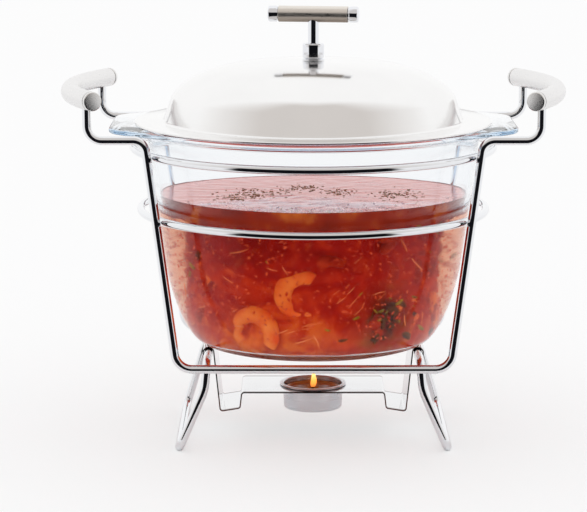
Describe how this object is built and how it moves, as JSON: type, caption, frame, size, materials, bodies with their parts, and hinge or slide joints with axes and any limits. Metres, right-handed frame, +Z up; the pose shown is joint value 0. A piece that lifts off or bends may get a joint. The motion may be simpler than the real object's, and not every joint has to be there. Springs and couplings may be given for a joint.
{
  "type": "soup tureen",
  "caption": "Glass soup bowl with lugs and a domed steel lid, hanging in a bright wire stand with curved side grips over a tea light on a bent strip.",
  "frame": {"origin": "centre of the footprint, on the surface that the foot bars rest on", "axes": "+X to the right grip, +Y to the back, +Z up; the front faces -Y"},
  "size_m": [0.3204, 0.2346, 0.2761],
  "materials": {
    "bright_wire": "polished",
    "bright_strip": "polished",
    "satin_grip": "satin",
    "bowl_glass": "clear",
    "lid_steel": "polished",
    "knob_steel": "polished",
    "sleeve_satin": "satin",
    "cup_foil": "satin",
    "candle_wax": "waxy",
    "wick_cotton": "charred"
  },
  "bodies": {
    "stand": {"front_wire_frame": "bright_wire", "rear_wire_frame": "bright_wire", "upper_ring": "bright_wire", "lower_ring": "bright_wire", "left_leg_loop": "bright_wire", "right_leg_loop": "bright_wire", "burner_strip": "bright_strip", "left_grip_tube": "satin_grip", "right_grip_tube": "satin_grip", "left_grip_front_cap": "satin_grip", "left_grip_rear_cap": "satin_grip", "right_grip_front_cap": "satin_grip", "right_grip_rear_cap": "satin_grip"},
    "bowl": {"glass_bowl": "bowl_glass"},
    "lid": {"lid_shell": "lid_steel", "knob_washer": "knob_steel", "knob_collar": "knob_steel", "knob_post": "knob_steel", "knob_nut": "knob_steel", "crossbar_core": "knob_steel", "crossbar_sleeve": "sleeve_satin", "crossbar_left_cap": "knob_steel", "crossbar_right_cap": "knob_steel"},
    "tealight": {"tealight_cup": "cup_foil", "tealight_wax": "candle_wax", "tealight_wick": "wick_cotton", "wick_holder": "cup_foil"}
  },
  "joints": [
    {"name": "bowl_lift", "type": "slide", "parent": "stand", "child": "bowl", "axis": [0, 0, 1], "range_m": [0, 0.16]},
    {"name": "lid_lift", "type": "slide", "parent": "bowl", "child": "lid", "axis": [0, 0, 1], "range_m": [0, 0.1]},
    {"name": "tealight_lift", "type": "slide", "parent": "stand", "child": "tealight", "axis": [0, 0, 1], "range_m": [0, 0.02]}
  ]
}
